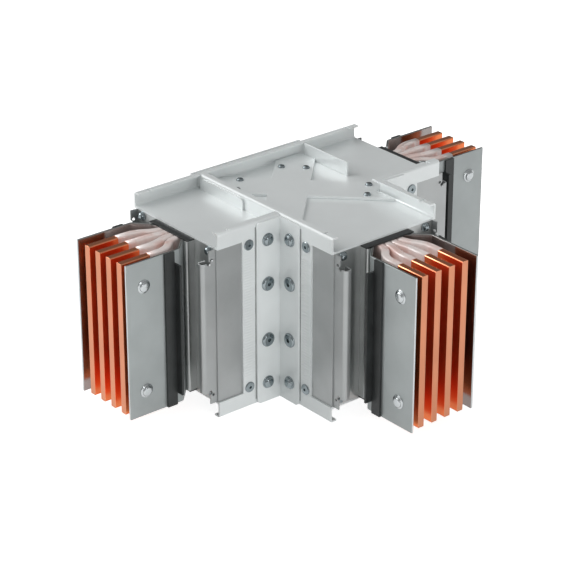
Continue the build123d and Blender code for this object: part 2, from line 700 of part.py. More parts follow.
def add_arm_ends(nodes):
    """End profiles, closures, earth plates and stop angles of each arm."""
    profile = end_profile()
    closure = end_closure()
    earth = earth_plate()
    stop = stop_angle()
    for arm in ARM_TURNS:
        for side, flip in (("a", False), ("b", True)):
            piece = other_side(profile) if flip else profile
            nodes[f"{arm}_end_profile_{side}"] = [on_arm(piece, arm)]
            piece = other_side(earth) if flip else earth
            nodes[f"{arm}_earth_plate_{side}"] = [on_arm(piece, arm)]
        nodes[f"{arm}_end_closures"] = [on_arm(closure, arm), on_arm(other_side(closure), arm)]
        nodes[f"{arm}_stop_angles"] = [on_arm(stop, arm), on_arm(other_side(stop), arm)]


def add_stack(nodes):
    """Boards, covers, bars, film and the block at the crossing."""
    nodes["top_insulating_board"] = [top_board()]
    nodes["bottom_insulating_board"] = [upside_down(top_board())]
    nodes["far_stack_cover"] = [far_stack_cover()]
    nodes["right_stack_cover"] = [corner_stack_cover()]
    nodes["left_stack_cover"] = [other_hand(corner_stack_cover())]
    nodes["junction_core"] = [junction_core()]
    for index in range(BAR_COUNT):
        nodes[f"run_bar_{index + 1}"] = [run_bar(index)]
        nodes[f"branch_bar_{index + 1}"] = [on_arm(branch_bar(index), "branch")]
    nodes["run_bar_film"] = [run_film(index) for index in range(BAR_COUNT)]
    start = branch_inner_end()
    nodes["branch_bar_film"] = [on_arm(half_film(index, start), "branch") for index in range(BAR_COUNT)]


def main():
    """Builds every node and writes it to its own file."""
    nodes = {}
    add_trays(nodes)
    add_sides(nodes)
    add_fasteners(nodes)
    add_arm_ends(nodes)
    add_stack(nodes)
    os.makedirs("parts", exist_ok=True)
    for name, pieces in nodes.items():
        solids = [Pos(0, ORIGIN_SHIFT, 0) * solid for piece in pieces for solid in piece.solids()]
        whole = solids[0] if len(solids) == 1 else Compound(solids)
        export_step(whole, f"parts/{name}.step")


main()
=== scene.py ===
"""Looks of the busway tee section: painted casing, copper bars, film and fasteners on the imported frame."""
import json

import bpy
from math import pi, radians
from mathutils import Matrix, Vector


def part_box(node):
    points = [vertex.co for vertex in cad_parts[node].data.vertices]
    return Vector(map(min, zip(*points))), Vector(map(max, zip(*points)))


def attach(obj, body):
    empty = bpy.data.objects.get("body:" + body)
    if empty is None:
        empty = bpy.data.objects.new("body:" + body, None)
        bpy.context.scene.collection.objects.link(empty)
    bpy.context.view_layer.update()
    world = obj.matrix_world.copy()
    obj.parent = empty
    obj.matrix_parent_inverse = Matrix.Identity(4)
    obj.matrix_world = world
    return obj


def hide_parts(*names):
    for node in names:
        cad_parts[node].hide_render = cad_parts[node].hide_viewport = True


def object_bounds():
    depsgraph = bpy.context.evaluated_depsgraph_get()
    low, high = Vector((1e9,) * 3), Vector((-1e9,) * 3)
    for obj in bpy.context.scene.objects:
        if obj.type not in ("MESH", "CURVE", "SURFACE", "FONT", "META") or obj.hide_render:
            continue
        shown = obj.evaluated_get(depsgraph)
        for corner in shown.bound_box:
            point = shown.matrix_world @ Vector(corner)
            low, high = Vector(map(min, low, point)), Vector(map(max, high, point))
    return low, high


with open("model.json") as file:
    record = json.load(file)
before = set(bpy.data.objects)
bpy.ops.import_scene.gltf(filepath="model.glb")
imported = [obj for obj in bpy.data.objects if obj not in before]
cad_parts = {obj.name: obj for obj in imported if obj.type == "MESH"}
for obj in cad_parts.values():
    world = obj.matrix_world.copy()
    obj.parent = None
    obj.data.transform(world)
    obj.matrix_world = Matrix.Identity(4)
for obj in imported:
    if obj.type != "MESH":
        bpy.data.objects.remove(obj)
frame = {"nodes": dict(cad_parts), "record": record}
nodes = frame["nodes"]
cad_low, cad_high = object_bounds()

# Camera of the photograph, solved from the casing's edges
CAMERA_PLACE = (-1.40053, -1.60017, 1.13148)
CAMERA_TURN = (radians(64.38), 0.0, radians(-39.608))
CAMERA_LENS = 142.43
CAMERA_SENSOR = 36.0
CAMERA_SIGHT = (0.05, 50.0)

# Places and directions on the section, in metres
TEE_MIDDLE = Vector((0.0, 0.0855, 0.0))
ALONG_X = Vector((1.0, 0.0, 0.0))
ALONG_Y = Vector((0.0, 1.0, 0.0))
UPWARD = Vector((0.0, 0.0, 1.0))
CASING_HEIGHT = 0.2082
HALF_WIDTH = 0.070
BRACKET_FACE = 0.0725
ARM_LENGTH = 0.151
EARTH_REACH = 0.2435
EARTH_FACE = 0.0423
MID_HEIGHT = 0.1041
# Size of the thin dark strips that paint the shadow beside the brackets, in metres
SHADOW_STRIP_LEG = 0.0331
SHADOW_STRIP_HEIGHT = 0.1960
SHADOW_STRIP_SHEET = 0.0004

# Paint, metal and plastic colours, linear; a few, marked below, paint shade or reflection
WHITE = (0.80, 0.835, 0.835)
PANEL_GREY = (0.42, 0.435, 0.435)
SHEET_GREY = (0.50, 0.515, 0.51)
# Painted shadow: the grey of the strips along the brackets' edges
PAINTED_SHADOW_GREY = (0.24, 0.25, 0.25)
EARTH_GREY = (0.375, 0.405, 0.405)
BLACK = (0.022, 0.025, 0.025)
COPPER = (0.93, 0.36, 0.19)
# Painted shade: a darker, redder copper on the bar sides, for the deep red of the light caught in the gaps
PAINTED_GAP_COPPER = (0.87, 0.225, 0.08)
CUT_COPPER = (0.65, 0.27, 0.155)
CUT_EDGE = (0.74, 0.77, 0.77)
FILM_MILK = (0.86, 0.77, 0.74)
FILM_PINK = (0.78, 0.56, 0.51)
ZINC = (0.28, 0.32, 0.335)
BRIGHT_ZINC = (0.56, 0.59, 0.60)
# Painted shade: the near-black of the earth plates' top and bottom edges
PAINTED_EDGE_SHADE = (0.075, 0.08, 0.075)
# Painted reflection: the warm grey of the earth plates' faces toward the copper
PAINTED_COPPER_MIRROR = (0.33, 0.30, 0.29)

# Edge radii, in metres
BAR_ROUNDING = 0.0015
SAWN_SHARE = 0.2
FILM_ROUNDING = 0.0021
EARTH_ROUNDING = 0.0004
SHEET_ROUNDING = 0.0005
PANEL_ROUNDING = 0.0012
WELD_REACH = 0.00001
FILM_WALL = 0.00015

# Steps of a rounding, and the angles between faces that are flat, sharp or shaded as one
BAR_STEPS = 4
FILM_STEPS = 5
EDGE_STEPS = 2
FLAT_ANGLE = radians(0.5)
SHARP_ANGLE = radians(40)
SMOOTH_ANGLE = radians(35)

# How squarely a face looks in a direction: as a flat face does, or as a slanted one
SQUARELY = 0.98
SLANTED = 0.6

# Fine ribs pressed into the corner plates, in metres
RIB_PITCH = 0.0031
RIB_DEPTH = 0.00012
RIB_REACH = 0.068

# Grain of the finishes: sizes and depths, in metres
BLOTCH_SIZE = 0.06
PEEL_SIZE = 0.0012
PEEL_DEPTH = 0.00001
STREAK_SIZE = 0.004
STREAK_DEPTH = 0.0001
CLOUD_SIZE = 0.035
SKIN_SIZE = 0.0009
SKIN_DEPTH = 0.00005
DUST_SIZE = 0.02
CREASE_SIZE = 0.02
CREASE_DEPTH = 0.0001

# Tones of a finish, as factors on its colour, and the 0 to 1 values at which the ends of a ramp lie
BLOTCH_TONES = (0.97, 1.02)
CLOUD_TONES = (0.95, 1.04)
DUST_TONES = (0.85, 1.3)
TONE_ENDS = (0.35, 0.65)
CREASE_ENDS = (0.30, 0.55)

# Gloss of the paint, the plastic and the film
PAINT_METAL = 0.16
PAINT_ROUGHNESS = 0.31
PAINT_SPREAD = 0.05
PLASTIC_BELOW = 0.06
PLASTIC_ABOVE = 0.08
FILM_ROUGHNESS = (0.22, 0.34)
FILM_COAT = 0.9
FILM_COAT_ROUGHNESS = 0.09

# How much finer a grain is along X, Y and Z
EVEN = (1.0, 1.0, 1.0)
LEVEL_LINES = (1.0, 1.0, 4.0)
UPRIGHT_LINES = (4.0, 4.0, 0.4)
DENSE_UPRIGHT_LINES = (8.0, 8.0, 0.4)
BROAD_UPRIGHT_LINES = (1.0, 1.0, 0.1)
LONG_CREASES = (1.0, 1.0, 0.3)

# Rolled metals, two of them painted copies that stand for reflection and shade: name, colour, roughness,
# streaks, how metallic, how far the streaks change the roughness
ROLLED_METALS = {
    "grey_paint": ("grey panel sheet", PANEL_GREY, 0.36, LEVEL_LINES, 0.6, 0.03),
    "dark_sheet": ("dark closure sheet", SHEET_GREY, 0.3, BROAD_UPRIGHT_LINES, 0.75, 0.03),
    "earth_metal": ("earth plate metal", EARTH_GREY, 0.4, UPRIGHT_LINES, 0.6, 0.01),
    "cut_edge": ("cut plate edge", CUT_EDGE, 0.45, LEVEL_LINES, 0.3, 0.03),
    # painted reflection of the copper on the earth plates' inner faces
    "painted_copper_mirror": ("inner face of the plates", PAINTED_COPPER_MIRROR, 0.2, UPRIGHT_LINES, 1.0, 0.01),
    "copper": ("rolled copper", COPPER, 0.16, DENSE_UPRIGHT_LINES, 0.94, 0.03),
    # painted deep red of the light caught between the bars
    "painted_gap_copper": ("copper between the bars", PAINTED_GAP_COPPER, 0.3, DENSE_UPRIGHT_LINES, 0.94, 0.01),
    "cut_copper": ("sawn copper", CUT_COPPER, 0.3, DENSE_UPRIGHT_LINES, 1.0, 0.03),
    "zinc": ("blued zinc", ZINC, 0.15, EVEN, 1.0, 0.03),
    "bright_zinc": ("bright zinc", BRIGHT_ZINC, 0.2, EVEN, 1.0, 0.03),
}

# Matt plastics, and two matt colours that paint shade: name, colour, roughness
MATT_PLASTICS = {
    "black_parts": ("matt black", BLACK, 0.42),
    # painted shadow line beside the brackets
    "seam": ("grey seam", PAINTED_SHADOW_GREY, 0.6),
    # painted shade on the earth plates' top and bottom edges
    "painted_edge_shade": ("dark plate edge", PAINTED_EDGE_SHADE, 0.6),
}

# Heads, as rings of radius and height from the bottom edge up; a dome as radius, foot and crown; a socket as
# width across its corners, depth and the height of the face that it is cut into; all in metres
HEAD_SIDES = 36
DOMED_BOLT_RIM = [(0.0070, 0.0), (0.0070, 0.0008), (0.0067, 0.0011)]
DOMED_BOLT_TOP = (0.0060, 0.0012, 0.0046)
SOCKET_BOLT_HEAD = [(0.0078, 0.0), (0.0078, 0.0011), (0.0070, 0.0021), (0.0064, 0.0025), (0.0032, 0.0026)]
SOCKET_BOLT_SOCKET = (0.0050, 0.0024, 0.0026)
SIDE_SCREW_HEAD = [(0.00585, 0.0), (0.00585, 0.0008), (0.0053, 0.0014), (0.0022, 0.0016)]
SIDE_SCREW_SOCKET = (0.0036, 0.0014, 0.0016)
RIVET_RIM = [(0.0075, 0.0), (0.0075, 0.0005), (0.0072, 0.0008), (0.0060, 0.0010)]
RIVET_TOP = (0.0056, 0.0013, 0.0036)
END_SCREW_WASHER = [(0.0050, 0.0), (0.0050, 0.0009), (0.0047, 0.0011)]
END_SCREW_TOP = (0.0041, 0.0012, 0.0045)
FLAT_END_HEAD = [(0.0038, 0.0), (0.0038, 0.0006), (0.0033, 0.0011), (0.0015, 0.0012)]
CROSS_SCREW_RIM = [(0.0040, 0.0), (0.0040, 0.0005)]
CROSS_SCREW_TOP = (0.0037, 0.0007, 0.0026)
DOME_STEPS = 6
DOME_SHOULDER = 2.2
DOME_RISE = 2.0
DOME_CROWN = 0.06

# Places of the fasteners: heights and insets, in metres, and turns about the tee's middle, in degrees
BOLT_ROWS = (0.0226, 0.0721, 0.1361, 0.1856)
BOLT_INSET = 0.0185
SIDE_SCREW_ROW = 0.023
SIDE_SCREW_INSET = 0.0412
RIVET_ROWS = (0.0456, 0.1626)
RIVET_INSET = 0.0207
END_SCREW_ROW = 0.0228
END_SCREW_INSET = 0.014
CROSS_SCREW_PLACES = ((45, 0.0537), (135, 0.0537), (315, 0.0835))
CROSS_SCREW_SPREAD = 0.0134
CROSS_PLATE_TOP = 0.1954

# Studio: the sky's level, its glow and its shade, each a direction, the rim's cosine and a strength
SKY_LEVEL = 0.43
SKY_GLOW = ((-0.45, 0.62, 0.64), 0.62, 1.25)
SKY_SHADE = ((0.59, 0.68, 0.43), 0.7, 0.3)

# Lamps: name, place in metres, power in watts, width and height in metres, gleams on gloss, lights matt faces
LAMPS = (
    ("key lamp", (-1.25, 1.85, 1.6), 10.5, 1.6, 1.6, True, True),
    ("edge lamp", (-1.28, 1.85, 1.5), 20.0, 1.0, 1.0, True, False),
    ("front lamp", (-0.05, -2.2, 0.3), 14.0, 1.2, 0.5, False, True),
    ("gleam lamp", (-0.3, -2.2, 0.75), 3.0, 0.4, 0.3, True, True),
)

# Floor: its size in metres, its colour, and how brightly it glows where it is seen and where it is mirrored
FLOOR_SIZE = 12.0
FLOOR_COLOUR = (0.8, 0.8, 0.8, 1.0)
FLOOR_SEEN = 0.8
FLOOR_MIRRORED = 0.5


# Materials

def computed(tree, operation, *values):
    """The result of a Math node on values, each a number or another node's output."""
    node = tree.nodes.new("ShaderNodeMath")
    node.operation = operation
    for socket, value in zip(node.inputs, values):
        if isinstance(value, float):
            socket.default_value = value
        else:
            tree.links.new(value, socket)
    return node.outputs[0]


def blank_material(name):
    """A material with one Principled shader, and that shader."""
    material = bpy.data.materials.new(name)
    material.use_nodes = True
    return material, material.node_tree.nodes["Principled BSDF"]


def grain(material, size, stretch=EVEN, detail=3.0):
    """Noise of that grain size in metres, on Object coordinates, finer along the stretched axes."""
    tree = material.node_tree
    place = tree.nodes.new("ShaderNodeTexCoord")
    mapping = tree.nodes.new("ShaderNodeMapping")
    noise = tree.nodes.new("ShaderNodeTexNoise")
    mapping.inputs["Scale"].default_value = stretch
    noise.inputs["Scale"].default_value = 1.0 / size
    noise.inputs["Detail"].default_value = detail
    tree.links.new(place.outputs["Object"], mapping.inputs["Vector"])
    tree.links.new(mapping.outputs["Vector"], noise.inputs["Vector"])
    return noise.outputs["Fac"]


def ribs(material):
    """The height of fine level ribs, which stop short of the sheet's upper and lower ends."""
    tree = material.node_tree
    place = tree.nodes.new("ShaderNodeTexCoord")
    parts = tree.nodes.new("ShaderNodeSeparateXYZ")
    tree.links.new(place.outputs["Object"], parts.inputs["Vector"])
    height = parts.outputs["Z"]
    wave = computed(tree, "SINE", computed(tree, "MULTIPLY", height, 2 * pi / RIB_PITCH))
    return computed(tree, "MULTIPLY", wave, computed(tree, "COMPARE", height, MID_HEIGHT, RIB_REACH))


def ramp(material, source, dark, light, ends=TONE_ENDS):
    """The colours between dark and light that a 0 to 1 value picks."""
    tree = material.node_tree
    node = tree.nodes.new("ShaderNodeValToRGB")
    for element, end, colour in zip(node.color_ramp.elements, ends, (dark, light)):
        element.position = end
        element.color = (*colour, 1.0)
    tree.links.new(source, node.inputs["Fac"])
    return node.outputs["Color"]


def tinted(material, source, colour, tones):
    """The colour, from its darkest to its lightest tone, as a 0 to 1 value picks."""
    dark, light = (tuple(min(1.0, channel * tone) for channel in colour) for tone in tones)
    return ramp(material, source, dark, light)


def spread(material, source, low, high):
    """A 0 to 1 value made to run from low to high."""
    tree = material.node_tree
    node = tree.nodes.new("ShaderNodeMapRange")
    node.inputs["To Min"].default_value = low
    node.inputs["To Max"].default_value = high
    tree.links.new(source, node.inputs["Value"])
    return node.outputs["Result"]


def relief(material, shader, height, depth):
    """Bump of that depth in metres on the shader."""
    tree = material.node_tree
    bump = tree.nodes.new("ShaderNodeBump")
    bump.inputs["Strength"].default_value = 1.0
    bump.inputs["Distance"].default_value = depth
    tree.links.new(height, bump.inputs["Height"])
    tree.links.new(bump.outputs["Normal"], shader.inputs["Normal"])


def powder_coat(name, colour, ribbed=False):
    """Satin powder coat with faint blotches of tone, over fine ribs or with an orange-peel skin."""
    material, shader = blank_material(name)
    link = material.node_tree.links.new
    blotch = grain(material, BLOTCH_SIZE)
    peel = grain(material, PEEL_SIZE, detail=2.0)
    gloss = spread(material, peel, PAINT_ROUGHNESS - PAINT_SPREAD, PAINT_ROUGHNESS + PAINT_SPREAD)
    link(tinted(material, blotch, colour, BLOTCH_TONES), shader.inputs["Base Color"])
    link(gloss, shader.inputs["Roughness"])
    if ribbed:
        relief(material, shader, ribs(material), RIB_DEPTH)
    else:
        relief(material, shader, peel, PEEL_DEPTH)
    shader.inputs["Metallic"].default_value = PAINT_METAL
    return material


def rolled_metal(name, colour, roughness, streak, metallic, brushed):
    """Rolled metal: long fine streaks along one axis in its gloss, and clouds of tone."""
    material, shader = blank_material(name)
    link = material.node_tree.links.new
    lines = grain(material, STREAK_SIZE, stretch=streak, detail=5.0)
    cloud = grain(material, CLOUD_SIZE)
    link(tinted(material, cloud, colour, CLOUD_TONES), shader.inputs["Base Color"])
    link(spread(material, lines, roughness - brushed, roughness + brushed), shader.inputs["Roughness"])
    relief(material, shader, lines, STREAK_DEPTH * brushed)
    shader.inputs["Metallic"].default_value = metallic
    return material


def matt_plastic(name, colour, roughness):
    """Matt plastic: a grainy skin with a little dust in the tone."""
    material, shader = blank_material(name)
    link = material.node_tree.links.new
    skin = grain(material, SKIN_SIZE, detail=2.0)
    dust = grain(material, DUST_SIZE)
    gloss = spread(material, skin, roughness - PLASTIC_BELOW, roughness + PLASTIC_ABOVE)
    link(tinted(material, dust, colour, DUST_TONES), shader.inputs["Base Color"])
    link(gloss, shader.inputs["Roughness"])
    relief(material, shader, skin, SKIN_DEPTH)
    return material


def milky_film(name):
    """Insulating film drawn tight over copper: milky, with pink where it lies closest."""
    material, shader = blank_material(name)
    link = material.node_tree.links.new
    creases = grain(material, CREASE_SIZE, stretch=LONG_CREASES, detail=2.0)
    link(ramp(material, creases, FILM_PINK, FILM_MILK, CREASE_ENDS), shader.inputs["Base Color"])
    link(spread(material, creases, *FILM_ROUGHNESS), shader.inputs["Roughness"])
    relief(material, shader, creases, CREASE_DEPTH)
    shader.inputs["Coat Weight"].default_value = FILM_COAT
    shader.inputs["Coat Roughness"].default_value = FILM_COAT_ROUGHNESS
    return material


def finishes():
    """Every finish: one for each slot of the record, and those of single faces and pieces."""
    made = {
        "white_paint": powder_coat("white powder coat", WHITE),
        "ribbed_paint": powder_coat("ribbed white powder coat", WHITE, ribbed=True),
        "film": milky_film("insulating film"),
    }
    for finish, traits in ROLLED_METALS.items():
        made[finish] = rolled_metal(*traits)
    for finish, traits in MATT_PLASTICS.items():
        made[finish] = matt_plastic(*traits)
    return made


def finish_of(row):
    """A CAD node's finish: its slot's, but dark sheet for closures and covers, ribs for corner plates."""
    if row["node"].endswith(("end_closures", "stack_cover")):
        return "dark_sheet"
    if row["node"].endswith("corner_plate"):
        return "ribbed_paint"
    return row["material_slot"]


def dress():
    """Gives every CAD node its material."""
    for row in frame["record"]["subparts"]:
        mesh = nodes[row["node"]].data
        mesh.materials.clear()
        mesh.materials.append(materials[finish_of(row)])


# Edges of the sheets

def soften(node, width):
    """Rounds the sharp edges of a CAD node by modifiers, over a skin welded from its loose triangles."""
    piece = nodes[node]
    weld = piece.modifiers.new("weld", "WELD")
    weld.merge_threshold = WELD_REACH
    flat = piece.modifiers.new("flat faces", "DECIMATE")
    flat.decimate_type = "DISSOLVE"
    flat.angle_limit = FLAT_ANGLE
    bevel = piece.modifiers.new("soft edges", "BEVEL")
    bevel.width = width
    bevel.segments = EDGE_STEPS
    bevel.angle_limit = SHARP_ANGLE


def soften_sheets():
    """Rounds the panels' edges most, and those of the other sheets a little."""
    for node in nodes:
        if node.endswith(("run_side_panel", "branch_side_panel")):
            soften(node, PANEL_ROUNDING)
        elif node.endswith(("far_side_panel", "bracket", "back_cover", "cross_plate", "flap", "tray")):
            soften(node, SHEET_ROUNDING)


# Pieces that stand for a node

def only(piece):
    """Selects one object alone and makes it active."""
    bpy.ops.object.select_all(action="DESELECT")
    piece.select_set(True)
    bpy.context.view_layer.objects.active = piece


def hand_over(piece, node, finish):
    """Gives a finished piece its material and its body, and hides the node it stands for."""
    piece.data.materials.clear()
    piece.data.materials.append(materials[finish])
    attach(piece, "root")
    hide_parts(node)


def merged_copy(node, name):
    """A copy of a CAD node whose loose triangles are joined into one skin with flat faces."""
    piece = bpy.data.objects.new(name, nodes[node].data.copy())
    bpy.context.scene.collection.objects.link(piece)
    only(piece)
    bpy.ops.object.mode_set(mode="EDIT")
    bpy.ops.mesh.select_all(action="SELECT")
    bpy.ops.mesh.remove_doubles(threshold=WELD_REACH)
    bpy.ops.mesh.dissolve_limited(angle_limit=FLAT_ANGLE)
    bpy.ops.object.mode_set(mode="OBJECT")
    return piece


def pick_points(piece, wanted):
    """Selects the vertices of a piece that pass a test, and leaves the piece in edit mode."""
    only(piece)
    bpy.ops.object.mode_set(mode="EDIT")
    bpy.ops.mesh.select_all(action="DESELECT")
    bpy.ops.object.mode_set(mode="OBJECT")
    for vertex in piece.data.vertices:
        vertex.select = wanted(vertex.co)
    bpy.ops.object.mode_set(mode="EDIT")


def give_wall(piece, thickness, side):
    """Gives a skin its thickness: inward at side -1, to both sides at 0."""
    wall = piece.modifiers.new("wall", "SOLIDIFY")
    wall.thickness = thickness
    wall.offset = side
    only(piece)
    bpy.ops.object.modifier_apply(modifier=wall.name)


def crisp_ends(bar, axis):
    """Marks a bar's edges: the drawn ones along it in full, those round its sawn ends by a small share."""
    weights = bar.data.attributes.new("bevel_weight_edge", "FLOAT", "EDGE")
    for edge in bar.data.edges:
        first, second = (bar.data.vertices[index].co for index in edge.vertices)
        weights.data[edge.index].value = 1.0 if abs(first[axis] - second[axis]) > BAR_ROUNDING else SAWN_SHARE


def round_edges(piece, width, segments, by_weight=False):
    """Rounds a piece's sharp edges for good and shades it smooth."""
    bevel = piece.modifiers.new("round edges", "BEVEL")
    bevel.width = width
    bevel.segments = segments
    bevel.angle_limit = SHARP_ANGLE
    if by_weight:
        bevel.limit_method = "WEIGHT"
    only(piece)
    bpy.ops.object.modifier_apply(modifier=bevel.name)
    bpy.ops.object.shade_smooth_by_angle(angle=SMOOTH_ANGLE)


def finish_faces(piece, finish, *directions, least=SQUARELY):
    """Gives the faces of a bar or plate that look in some directions, or nearly so, their own finish."""
    piece.data.materials.append(materials[finish])
    for face in piece.data.polygons:
        if max(face.normal.dot(direction) for direction in directions) > least:
            face.material_index = len(piece.data.materials) - 1


def rounded_bars():
    """The copper bars with the drawn edge radius that catches the light; their sides in a redder copy of the
    copper, painted deep red of the light caught between the bars.
    """
    for run, axis, along, across in (("run", 0, ALONG_X, ALONG_Y), ("branch", 1, ALONG_Y, ALONG_X)):
        for index in range(1, 5):
            node = f"{run}_bar_{index}"
            bar = merged_copy(node, f"rounded_{node}")
            crisp_ends(bar, axis)
            round_edges(bar, BAR_ROUNDING, BAR_STEPS, by_weight=True)
            hand_over(bar, node, "copper")
            finish_faces(bar, "cut_copper", along, -along)
            # The sides that face the gaps get the redder copy: painted deep red of the light caught between
            # the bars
            finish_faces(bar, "painted_gap_copper", across, -across)


def rounded_earth_plates():
    """The earth plates: worn edges, a bright cut at the open end, top and bottom edges in painted shade, and
    a mirror face toward the copper with a painted reflection of the copper.
    """
    for arm, along, across in (("left_arm", ALONG_X, ALONG_Y), ("right_arm", ALONG_X, ALONG_Y),
                               ("branch", ALONG_Y, ALONG_X)):
        for side in ("a", "b"):
            node = f"{arm}_earth_plate_{side}"
            plate = merged_copy(node, f"worn_{node}")
            round_edges(plate, EARTH_ROUNDING, EDGE_STEPS)
            hand_over(plate, node, "earth_metal")
            finish_faces(plate, "cut_edge", along, -along)
            # Top and bottom edges painted near black: painted shade for the dim sky they mirror
            finish_faces(plate, "painted_edge_shade", UPWARD, -UPWARD)
            low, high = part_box(node)
            offset = ((low + high) / 2 - TEE_MIDDLE).dot(across)
            # The face toward the copper gets a warm tint: painted reflection of the copper
            finish_faces(plate, "painted_copper_mirror", -across if offset > 0 else across, least=SLANTED)


def bracket_shadow_strips():
    """A thin dark strip along the outer edges of each corner bracket: painted shadow of the gap behind the
    bracket.
    """
    for hand, name in ((1, "right"), (-1, "left")):
        bpy.ops.object.select_all(action="DESELECT")
        place = Vector((hand * (HALF_WIDTH + SHADOW_STRIP_LEG / 2), -HALF_WIDTH, MID_HEIGHT)) + TEE_MIDDLE
        bpy.ops.mesh.primitive_plane_add(size=1.0, location=place, rotation=(radians(90), 0, 0))
        shadow_strip = bpy.context.active_object
        shadow_strip.name = f"{name}_bracket_shadow_strip"
        shadow_strip.scale = (SHADOW_STRIP_LEG, SHADOW_STRIP_HEIGHT, 1.0)
        bpy.ops.object.transform_apply(location=True, rotation=True, scale=True)
        pick_points(shadow_strip, lambda point: point.x * hand < HALF_WIDTH + SHADOW_STRIP_SHEET)
        bpy.ops.mesh.extrude_region_move(TRANSFORM_OT_translate={"value": (0, -SHADOW_STRIP_LEG, 0)})
        bpy.ops.mesh.select_all(action="SELECT")
        bpy.ops.mesh.normals_make_consistent(inside=False)
        bpy.ops.object.mode_set(mode="OBJECT")
        give_wall(shadow_strip, 2 * SHADOW_STRIP_SHEET, 0.0)
        shadow_strip.data.materials.clear()
        shadow_strip.data.materials.append(materials["seam"])
        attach(shadow_strip, "root")


def film_sleeves():
    """The film as soft sleeves: the outer skin of each node, rounded and given its thickness."""
    for node in ("run_bar_film", "branch_bar_film"):
        sleeve = merged_copy(node, f"soft_{node}")
        low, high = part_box(node)
        pick_points(sleeve, lambda point: low.z + WELD_REACH < point.z < high.z - WELD_REACH)
        bpy.ops.mesh.delete(type="VERT")
        bpy.ops.object.mode_set(mode="OBJECT")
        round_edges(sleeve, FILM_ROUNDING, FILM_STEPS)
        give_wall(sleeve, FILM_WALL, -1.0)
        hand_over(sleeve, node, "film")


# Fasteners

def turned_head(name, rings):
    """A head turned from a disc: each ring is a radius and a height, from the bottom edge to the top."""
    radius, height = rings[0]
    bpy.ops.object.select_all(action="DESELECT")
    bpy.ops.mesh.primitive_circle_add(vertices=HEAD_SIDES, radius=radius, fill_type="NGON",
                                      location=(0, 0, height))
    head = bpy.context.active_object
    head.name = name
    bpy.ops.object.mode_set(mode="EDIT")
    bpy.ops.mesh.select_all(action="SELECT")
    for next_radius, next_height in rings[1:]:
        rise = {"value": (0, 0, next_height - height)}
        bpy.ops.mesh.extrude_region_move(TRANSFORM_OT_translate=rise)
        scale = next_radius / radius
        bpy.ops.transform.resize(value=(scale, scale, 1))
        radius = next_radius
        height = next_height
    bpy.ops.mesh.select_all(action="SELECT")
    bpy.ops.mesh.normals_make_consistent(inside=False)
    bpy.ops.object.mode_set(mode="OBJECT")
    bpy.ops.object.transform_apply(location=True, rotation=True, scale=True)
    return head


def dome_rings(radius, low, high):
    """Rings of a low dome from its rim to its crown."""
    rings = []
    for step in range(DOME_STEPS):
        share = step / DOME_STEPS
        height = low + (high - low) * (1 - (1 - share) ** DOME_RISE)
        rings.append((radius * (1 - share ** DOME_SHOULDER), height))
    return rings + [(radius * DOME_CROWN, high)]


def cut_socket(head, across, depth, top):
    """Cuts a hexagon socket into a head."""
    bpy.ops.object.select_all(action="DESELECT")
    bpy.ops.mesh.primitive_cylinder_add(vertices=6, radius=across / 2, depth=2 * depth, location=(0, 0, top))
    cutter = bpy.context.active_object
    cut = head.modifiers.new("socket", "BOOLEAN")
    cut.operation = "DIFFERENCE"
    cut.solver = "EXACT"
    cut.object = cutter
    only(head)
    bpy.ops.object.modifier_apply(modifier=cut.name)
    bpy.data.objects.remove(cutter)


def place_heads(name, placings, node):
    """Copies of heads, each at its point and facing its direction, as one piece that stands for a node."""
    copies = []
    for head, point, facing in placings:
        copy = bpy.data.objects.new(name, head.data.copy())
        turn = Vector((0, 0, 1)).rotation_difference(Vector(facing)).to_matrix().to_4x4()
        copy.data.transform(Matrix.Translation(Vector(point) + TEE_MIDDLE) @ turn)
        bpy.context.scene.collection.objects.link(copy)
        copies.append(copy)
    only(copies[0])
    for copy in copies:
        copy.select_set(True)
    bpy.ops.object.join()
    piece = bpy.context.active_object
    only(piece)
    bpy.ops.object.shade_smooth_by_angle(angle=SHARP_ANGLE)
    hand_over(piece, node, "zinc")
    for head in {head for head, point, facing in placings}:
        bpy.data.objects.remove(head)
    return piece


def corner_spots(along, face, height):
    """A point and a direction on each leg of both inner corners, from the one on the right run side."""
    return [((along, -face, height), (0, -1, 0)), ((face, -along, height), (1, 0, 0)),
            ((-along, -face, height), (0, -1, 0)), ((-face, -along, height), (-1, 0, 0))]


def arm_spots(out, side, height, facing_out):
    """A point and a direction on both sides of the three arms, facing sideways or out along the arm."""
    spots = []
    for x, y in ((1, 0), (-1, 0), (0, -1)):
        for hand in (-1, 1):
            across = (-y * hand, x * hand)
            point = (x * out + across[0] * side, y * out + across[1] * side, height)
            spots.append((point, (x, y, 0) if facing_out else (*across, 0)))
    return spots


def bracket_bolts():
    """Domed bolts at the ends of each bracket leg, flat socket bolts between them."""
    domed = turned_head("domed bolt", DOMED_BOLT_RIM + dome_rings(*DOMED_BOLT_TOP))
    socket = turned_head("socket bolt", SOCKET_BOLT_HEAD)
    cut_socket(socket, *SOCKET_BOLT_SOCKET)
    placings = []
    for height, head in zip(BOLT_ROWS, (domed, socket, socket, domed)):
        for point, facing in corner_spots(HALF_WIDTH + BOLT_INSET, BRACKET_FACE, height):
            placings.append((head, point, facing))
    place_heads("bracket_bolt_heads", placings, "bracket_bolts")


def side_screws():
    """Flat screws with a small hexagon socket beyond each bracket."""
    screw = turned_head("side screw", SIDE_SCREW_HEAD)
    cut_socket(screw, *SIDE_SCREW_SOCKET)
    placings = [(screw, point, facing) for height in (SIDE_SCREW_ROW, CASING_HEIGHT - SIDE_SCREW_ROW)
                for point, facing in corner_spots(HALF_WIDTH + SIDE_SCREW_INSET, HALF_WIDTH, height)]
    place_heads("side_screw_heads", placings, "side_screws")


